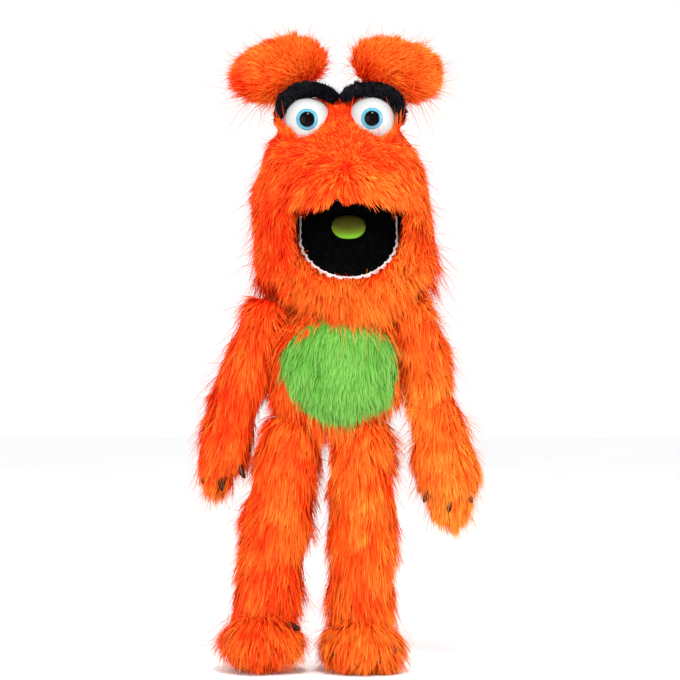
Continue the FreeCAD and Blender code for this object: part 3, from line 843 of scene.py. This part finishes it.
def tube(path, radii, around=14):
    """Points, triangles and outward normals of a round roll along a path, closed at both ends."""
    path = np.asarray(path, float)
    along = unit(np.gradient(path, axis=0))
    side = unit(np.cross(along, [0, 1, 0]))
    up = np.cross(along, side)
    turn = np.linspace(0, 2 * math.pi, around, endpoint=False)
    ring = side[:, None] * np.cos(turn)[None, :, None] + up[:, None] * np.sin(turn)[None, :, None]
    points = path[:, None] + ring * np.asarray(radii)[:, None, None]
    ends = len(path) * around
    faces = [grid_faces(len(path), around, closed=True)]
    for end, row in ((ends, 0), (ends + 1, len(path) - 1)):
        k = np.arange(around)
        a, b = row * around + k, row * around + (k + 1) % around
        pair = (b, a) if row == 0 else (a, b)
        faces.append(np.stack([pair[0], pair[1], np.full(around, end)], 1))
    points = np.concatenate([points.reshape(-1, 3), path[:1], path[-1:]])
    normals = np.concatenate([ring.reshape(-1, 3), -along[:1], along[-1:]])
    return points, np.concatenate(faces), normals


def smooth_path(knots, count):
    """A Catmull-Rom curve through a few knots."""
    knots = np.asarray(knots, float)
    padded = np.concatenate([2 * knots[:1] - knots[1:2], knots, 2 * knots[-1:] - knots[-2:-1]])
    place = np.linspace(0, len(knots) - 1, count)
    first = np.minimum(place.astype(int), len(knots) - 2)
    t = (place - first)[:, None]
    a, b, c, d = (padded[first + k] for k in range(4))
    return 0.5 * (2 * b + (c - a) * t + (2 * a - 5 * b + 4 * c - d) * t ** 2
                  + (3 * b - a - 3 * c + d) * t ** 3)


def triangle_areas(points, triangles):
    a, b, c = (points[triangles[:, i]] for i in range(3))
    return np.linalg.norm(np.cross(b - a, c - a), axis=1) / 2


# Brows: knots of the left one from the cheek to the nose, in eye radii from the eye's centre,
# with the roll's radius in mm. The right one is its mirror image.
BROW_KNOTS = [(-1.19, -0.22, 2.6), (-1.2, 0.2, 3.6), (-1.0, 0.82, 5.2), (-0.45, 1.22, 6.2), (0.15, 1.28, 6.4),
              (0.7, 1.16, 6.0), (1.02, 1.0, 4.6), (1.24, 0.93, 2.4)]
BROW_PILE = 7
BROW_POINTS = 40


def build_brows():
    for i, (side, (centre, radius)) in enumerate(zip(SIDES, EYES)):
        mirror = 1 if side == "left" else -1
        knots = [(mirror * x * radius, z * radius, r * MM) for x, z, r in BROW_KNOTS]
        line = smooth_path(knots, BROW_POINTS)
        low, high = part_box(side + "_eyebrow")
        bow = (low.y + high.y) / 2 + 2 * MM
        path = np.stack([centre.x + line[:, 0], np.full(BROW_POINTS, bow), centre.z + line[:, 1]], 1)
        points, triangles, normals = tube(path, line[:, 2])
        surface = points, triangles, normals, triangle_areas(points, triangles)
        way = np.array([mirror * 0.6, 0, 0.35])

        def flow(roots, _normals, way=way):
            return np.tile(way, (len(roots), 1))
        parts = coat(surface, 81 + i, 4.5, BROW_PILE, flow, base=0.5, lift=0.42, droop=0.1, spread=0.3)
        flat = np.tile([0.3, 0.1], (len(points), 1))
        obj = mesh_object(side + "_brow_pile", *joined([(points, triangles, flat)] + parts), BLACK)
        placed(obj, "head", "brow_plush", side + "_eyebrow")


# Mouth

def half_width(reach):
    """Half the boards' width at a distance in front of the fold."""
    past = np.clip(reach - ROUND_FROM, 0, MOUTH_HALF)
    return np.sqrt(np.maximum(MOUTH_HALF ** 2 - past ** 2, (0.5 * MM) ** 2))


LINING_OFF = 0.5 * MM  # how far the lining stands off the boards' faces
LINING_COLUMNS = 41
WEB_POINTS = 9


def on_roof(x, reach, off=LINING_OFF):
    """A point of the lining under the upper board."""
    return np.array([x, -reach, UPPER_FACE - off]) + np.array(FOLD)


def on_tray(x, reach, off=LINING_OFF):
    """A point of the lining over the lower board."""
    return from_jaw([x, -reach, LOWER_FACE + off])


def build_lining():
    """One black velour sheet: over the roof of the mouth, round the fold and down to the lower lip."""
    reach = (MOUTH_REACH - 0.3 * MM) * np.sin(np.linspace(0, math.pi / 2, 34)) ** 0.8
    reach = np.maximum(reach, 3 * MM)
    upper = [(d, on_roof(0, d)) for d in reach[::-1]]
    lower = [(d, on_tray(0, d)) for d in reach]
    a, b = upper[-1][1], lower[0][1]
    fold = []
    for t in np.linspace(0, 1, 7)[1:-1]:
        bulge = np.array([0, 2.2 * MM, 0]) * math.sin(math.pi * t)
        fold.append((0.0, a * (1 - t) + b * t + bulge))
    across = np.linspace(-1, 1, LINING_COLUMNS)
    rows = []
    for d, point in upper + fold + lower:
        rows.append(point[None] + np.stack([across * half_width(d), 0 * across, 0 * across], 1))
    sheets = [np.concatenate(rows)]
    faces = [grid_faces(len(rows), LINING_COLUMNS)]
    for end in (-1, 1):
        x = end * MOUTH_HALF
        sag = np.array([end * 1.5 * MM, 0, 0])
        start = sum(len(sheet) for sheet in sheets)
        faces.append(grid_faces(WEB_POINTS, WEB_POINTS) + start)
        sheets.append(np.array([on_roof(x, d) * (1 - t) + on_tray(x, d) * t + sag * math.sin(math.pi * t)
                                for d in np.linspace(0, MOUTH_REACH * 0.5, WEB_POINTS)
                                for t in np.linspace(0, 1, WEB_POINTS)]))
    points, faces = np.concatenate(sheets), np.concatenate(faces)
    uv = points[:, [0, 2]] * 10
    obj = mesh_object("mouth_lining", points, faces, uv, SLOT_LOOKS["mouth_plush"])
    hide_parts("upper_mouth_lining", "lower_mouth_lining", "mouth_fold_tape")
    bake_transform(obj)


TOOTH_PITCH = 9.6 * MM
TEETH_START = 6 * MM  # how far in front of the fold the strip begins
TEETH_INNER = -8.5 * MM  # its hidden edge under the lining
TEETH_PROFILE = (  # share of the way out, and height in mm
    (0, 0.0), (0, 0.35), (0.7, 0.4), (0.95, 1.3), (1, 0.8), (0.95, 0.3), (0.7, 0.0))


def build_teeth():
    """A felt strip round the lower lip with scallops that grow towards the middle of the chin."""
    arc = math.pi * MOUTH_HALF
    straight = ROUND_FROM - TEETH_START
    total = 2 * straight + arc
    count = 240
    s = np.linspace(0, total, count)
    turn = np.clip((s - straight) / MOUTH_HALF, 0, math.pi)
    x = -np.cos(turn)
    y = -np.sin(turn)
    run = np.where(s < straight, s - straight, np.where(s > straight + arc, s - straight - arc, 0))
    base_x = x * MOUTH_HALF
    base_y = -ROUND_FROM + y * MOUTH_HALF + np.abs(run)
    middleness = np.maximum(np.sin(math.pi * s / total), 0) ** 1.5
    scallop = np.abs(np.sin(math.pi * s / TOOTH_PITCH)) ** 0.7
    outer = (0.2 + 1.0 * middleness) * MM + scallop * (0.9 + 3.6 * middleness) * MM
    rows = []
    for share, height in TEETH_PROFILE:
        out = TEETH_INNER + (outer - TEETH_INNER) * share
        rows.append(from_jaw(np.stack([base_x + x * out, base_y + y * out,
                                       np.full(count, LOWER_FACE + height * MM)], 1)))
    around = len(rows)
    points = np.stack(rows, 1).reshape(-1, 3)
    faces = [grid_faces(count, around, closed=True)]
    for end in (0, count - 1):
        ring = end * around + np.arange(around)
        cap = [(ring[0], ring[k], ring[k + 1]) for k in range(1, around - 1)]
        faces.append(np.array(cap if end else [face[::-1] for face in cap]))
    uv = np.stack([np.repeat(s / total, around) * 20, np.tile(np.linspace(0, 1, around), count)], 1)
    obj = mesh_object("teeth_scallops", points, np.concatenate(faces), uv, SLOT_LOOKS["teeth_felt"])
    placed(obj, "jaw", "teeth_felt", "teeth_strip")


def build_tongue():
    """A small stuffed tongue with a crease, round at its tip."""
    low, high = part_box("tongue")
    half = (high.x - low.x) / 2
    back, reach, height = -6 * MM, 28 * MM, 6.5 * MM
    rings, around = 12, 64
    turn = np.linspace(0, 2 * math.pi, around, endpoint=False)
    bend = 0.55
    rim_x = half * np.sign(np.cos(turn)) * np.abs(np.cos(turn)) ** 0.8
    rim_y = np.where(np.sin(turn) < 0, reach * bend * np.sin(turn), reach * (1 - bend) * np.sin(turn))
    centre_y = back - reach * (1 - bend)
    points, uv = [], []
    for side in (1, -1):
        for k in range(rings + 1):
            r = math.sin(math.pi / 2 * k / rings)
            x, y = rim_x * r, centre_y + rim_y * r
            dome = math.sqrt(max(1 - r * r, 0))
            crease = 1.1 * MM * np.exp(-(x / (1.6 * MM)) ** 2) * (1 - r) * (side > 0)
            thick = height if side > 0 else 0.25 * height
            z = LOWER_FACE + 0.5 * MM + 0.25 * height + side * dome * thick - crease
            points.append(from_jaw(np.stack([x, y, z], 1)))
            # V runs from the root to the tip and rises towards the forward rim: the root end takes the
            # painted shadow under the lip, the tip and rim the painted light.
            tip = (back - y) / reach
            uv.append(np.stack([x / half, np.clip(0.75 * tip + 0.3 * r ** 3 * (y < centre_y), 0, 1)], 1))
    points, uv = np.concatenate(points), np.concatenate(uv)
    top = grid_faces(rings + 1, around, closed=True)
    under = top[:, ::-1] + (rings + 1) * around
    points, faces, kept = welded(points, np.concatenate([top, under]))
    obj = placed(mesh_object("tongue_pad", points, faces, uv[kept], TONGUE_WITH_PAINTED_SHADE), "tongue", "tongue_felt",
                 "tongue")


# Claws

def islands(node):
    """The separate solids of a node, as arrays of points."""
    points, triangles, _ = welded(*node_triangles(node))
    owner = np.arange(len(points))
    while True:
        least = owner[triangles].min(axis=1)
        before = owner.copy()
        for k in range(3):
            np.minimum.at(owner, triangles[:, k], least)
        owner = owner[owner]
        if (owner == before).all():
            break
    return [points[owner == number] for number in np.unique(owner[triangles])]


HORN_SHARE = 0.8


def claw_horn(cone):
    """A horn that curves down in place of a straight cone, and is HORN_SHARE as thick."""
    centre = cone.mean(axis=0)
    along = np.linalg.svd(cone - centre, full_matrices=False)[2][0]
    place = (cone - centre) @ along
    wide = [np.linalg.norm(cone[near] - centre - place[near, None] * along, axis=1).max()
            for near in (place < place.min() + 2 * MM, place > place.max() - 2 * MM)]
    if wide[1] > wide[0]:
        along, place = -along, -place
    base, length = centre + along * place.min(), place.max() - place.min()
    radius = max(wide) * HORN_SHARE
    t = np.linspace(0, 1, 14)
    path = base + along * length * t[:, None] + DOWN * (0.16 * length * t[:, None] ** 2)
    radii = radius * np.sqrt(np.maximum(1 - t ** 1.7, 0.0)) * (1 - 0.25 * t) + 0.4 * MM
    points, faces, _ = tube(path, radii, 18)
    return points, faces, np.tile([0.5, 0.5], (len(points), 1))


def build_claws():
    for side in SIDES:
        for part, body in (("hand", "arm"), ("foot", "foot")):
            node = f"{side}_{part}_claws"
            obj = mesh_object(f"{side}_{part}_horns", *joined([claw_horn(cone) for cone in islands(node)]),
                              SLOT_LOOKS["claw_leather"])
            placed(obj, f"{side}_{body}", "claw_leather", node)


# Sleeve

SLEEVE_RADIUS = 47 * MM
HEM_WIDTH = 25 * MM
HEM_POINTS = 180
HEM_STITCHES = 56


def build_hem():
    """The sleeve's turned hem, a little gathered, with a row of stitches."""
    rows = [(0.0, 0.0), (0.35, 0.5), (0.8, 0.7), (0.93, 1.0), (0.99, 0.7), (1.0, 0.0), (0.98, -0.9),
            (0.9, -1.3), (0.6, -1.2), (0.0, -1.0)]
    centre = np.array(frame["record"]["mounts"][0]["pos_m"])
    start = centre[1] - HEM_WIDTH
    turn = np.linspace(0, 2 * math.pi, HEM_POINTS, endpoint=False)
    points = []
    for share, out in rows:
        wave = 0.5 * MM * np.sin(turn * 23) + 0.4 * MM * np.sin(turn * 9 + 1)
        ring = SLEEVE_RADIUS - 1.6 * MM + out * MM + wave * min(share, 0.9)
        points.append(np.stack([centre[0] + ring * np.cos(turn),
                                np.full(HEM_POINTS, start + share * HEM_WIDTH),
                                centre[2] + ring * np.sin(turn)], 1))
    points = np.concatenate(points)
    uv = np.stack([np.tile(turn, len(rows)), np.repeat(np.linspace(0, 1, len(rows)), HEM_POINTS)], 1)
    obj = mesh_object("sleeve_hem", points, grid_faces(len(rows), HEM_POINTS, closed=True)[:, ::-1], uv,
                      SLOT_LOOKS["cuff_cloth"])
    placed(obj, "torso", "cuff_cloth", "sleeve_cuff")
    stitches = []
    for k in range(HEM_STITCHES):
        angles = (k + np.linspace(0.2, 0.8, 5)) * 2 * math.pi / HEM_STITCHES
        ring = SLEEVE_RADIUS - 0.9 * MM + 0.3 * MM * np.sin(np.linspace(0, math.pi, 5))
        path = np.stack([centre[0] + ring * np.cos(angles), np.full(5, start + 18 * MM),
                         centre[2] + ring * np.sin(angles)], 1)
        dash, faces, _ = tube(path, np.full(5, 0.4 * MM), 6)
        stitches.append((dash, faces, np.tile([0.5, 0.5], (len(dash), 1))))
    thread = mesh_object("hem_stitches", *joined(stitches), THREAD)
    placed(thread, "torso", "cuff_cloth")


# ---- materials of the CAD nodes that stay

SLOT_LOOKS = {
    "foam": cloth_material("foam_look", (0.45, 0.30, 0.10), (0.6, 0.42, 0.18), 300, 0.5),
    "stuffing": cloth_material("stuffing_look", (0.45, 0.45, 0.44), (0.6, 0.6, 0.58), 120, 0.7),
    "lining_cloth": weave_material("lining_look", (0.008, 0.008, 0.009), (0.03, 0.03, 0.034), 0.0012),
    "cuff_cloth": weave_material("cuff_look", (0.4, 0.02, 0.003), (0.75, 0.07, 0.01), 0.0016),
    "mouth_plush": cloth_material("mouth_look", (0.0008, 0.0008, 0.0008), (0.003, 0.0027, 0.003), 200, 0.3,
                                  1.0, 0.0, 0.0),
    "board_plastic": plastic_material("board_look", (0.004, 0.004, 0.004), (0.008, 0.008, 0.008), 90, 0.7),
    "teeth_felt": cloth_material("teeth_look", (0.50, 0.42, 0.40), (0.62, 0.54, 0.52), 250, 0.3),
    "eye_white": plastic_material("eye_white_look", (0.37, 0.375, 0.37), (0.41, 0.415, 0.405), 40, 0.45),
    "washer_plastic": plastic_material("washer_look", (0.4, 0.4, 0.39), (0.5, 0.5, 0.48), 60, 0.5),
    "claw_leather": plastic_material("claw_look", (0.008, 0.002, 0.0015), (0.03, 0.007, 0.004), 90, 0.4, 0.08,
                                     0.1),
    "brow_plush": BLACK,
    "orange_fur": ORANGE,
    "green_fur": GREEN,
}
THREAD = cloth_material("thread_look", (0.35, 0.03, 0.01), (0.5, 0.06, 0.02), 900, 0.3)
# The tongue runs from a dark olive painted shadow at its root under the upper lip to a bright green, with
# painted light, at its tip and forward rim.
TONGUE_WITH_PAINTED_SHADE = gradient_material("tongue_painted_shade_look", [(0.0, (0.030, 0.027, 0.002)), (0.5, (0.075, 0.080, 0.005)),
                                           (0.75, (0.12, 0.20, 0.010)), (1.0, (0.15, 0.42, 0.02))], 0.9)


def iris_looks(side):
    """Sky blue rings with a dark rim, and a brown-black pupil."""
    centre = middle(side + "_iris")
    blue = [(0.55, (0.01, 0.06, 0.10)), (0.68, (0.04, 0.22, 0.33)), (0.80, (0.08, 0.32, 0.43)),
            (0.92, (0.03, 0.17, 0.25)), (1.0, (0.01, 0.05, 0.08))]
    black = [(0.0, (0.004, 0.001, 0.001)), (0.45, (0.002, 0.001, 0.001)), (0.65, (0.001, 0.001, 0.001))]
    return {side + "_iris": ringed_material(side + "_iris_look", centre, blue, 0.3, 0.3, 0.2),
            side + "_pupil": ringed_material(side + "_pupil_look", centre, black, 0.3, 0.1, 0.0)}


def dress_nodes():
    """Give each CAD node the look of its material slot."""
    own = {**iris_looks("left"), **iris_looks("right")}
    for row in frame["record"]["subparts"]:
        name, slot = row["node"], row["material_slot"]
        look = own.get(name) or SLOT_LOOKS.get(slot, TONGUE_WITH_PAINTED_SHADE)
        obj = frame["nodes"][name]
        if not obj.material_slots:
            obj.data.materials.append(look)
        for holder in obj.material_slots:
            holder.material = look


dress_nodes()
build_head()
build_torso()
build_jaw()
build_ears()
build_limbs()
build_brows()
build_lining()
build_teeth()
build_tongue()
build_claws()
build_hem()


# ---- studio

VIEW_SIZE = 0.714
VIEW_DISTANCE = 2.6
SENSOR = 36.0


def studio():
    low, high = CAD_BOUNDS
    floor_mesh = bpy.data.meshes.new("floor")
    build = bmesh.new()
    bmesh.ops.create_grid(build, x_segments=1, y_segments=1, size=6.0)
    build.to_mesh(floor_mesh)
    build.free()
    floor = link(bpy.data.objects.new("floor", floor_mesh))
    floor.location = (0, 0, low.z - 6 * MM)
    floor_mesh.materials.append(cloth_material("floor_look", (0.93, 0.93, 0.93), (0.96, 0.96, 0.96), 3, 0))

    world = bpy.data.worlds.new("studio")
    world.use_nodes = True
    background = world.node_tree.nodes["Background"]
    background.inputs["Color"].default_value = (1, 1, 1, 1)
    background.inputs["Strength"].default_value = 1.0
    bpy.context.scene.world = world

    def area(name, place, size, power):
        lamp = bpy.data.lights.new(name, "AREA")
        lamp.size = size
        lamp.energy = power
        holder = link(bpy.data.objects.new(name, lamp))
        holder.location = place
        aim = Vector((0, -0.05, 0.1)) - Vector(place)
        holder.rotation_euler = aim.to_track_quat("-Z", "Y").to_euler()

    area("key", (0.15, -1.7, 1.7), 0.35, 42)
    area("fill", (-1.0, -1.8, 0.3), 1.2, 20)
    area("side", (1.6, -1.2, 0.5), 1.0, 20)

    camera_data = bpy.data.cameras.new("camera")
    camera_data.sensor_width = SENSOR
    camera_data.lens = SENSOR * VIEW_DISTANCE / VIEW_SIZE
    camera_data.clip_end = 50
    camera = link(bpy.data.objects.new("camera", camera_data))
    camera.location = (0, (low.y + high.y) / 2 - VIEW_DISTANCE, low.z + 340 * MM)
    camera.rotation_euler = (math.radians(90), 0, 0)
    bpy.context.scene.camera = camera
    bpy.context.scene.view_settings.view_transform = "Standard"


studio()
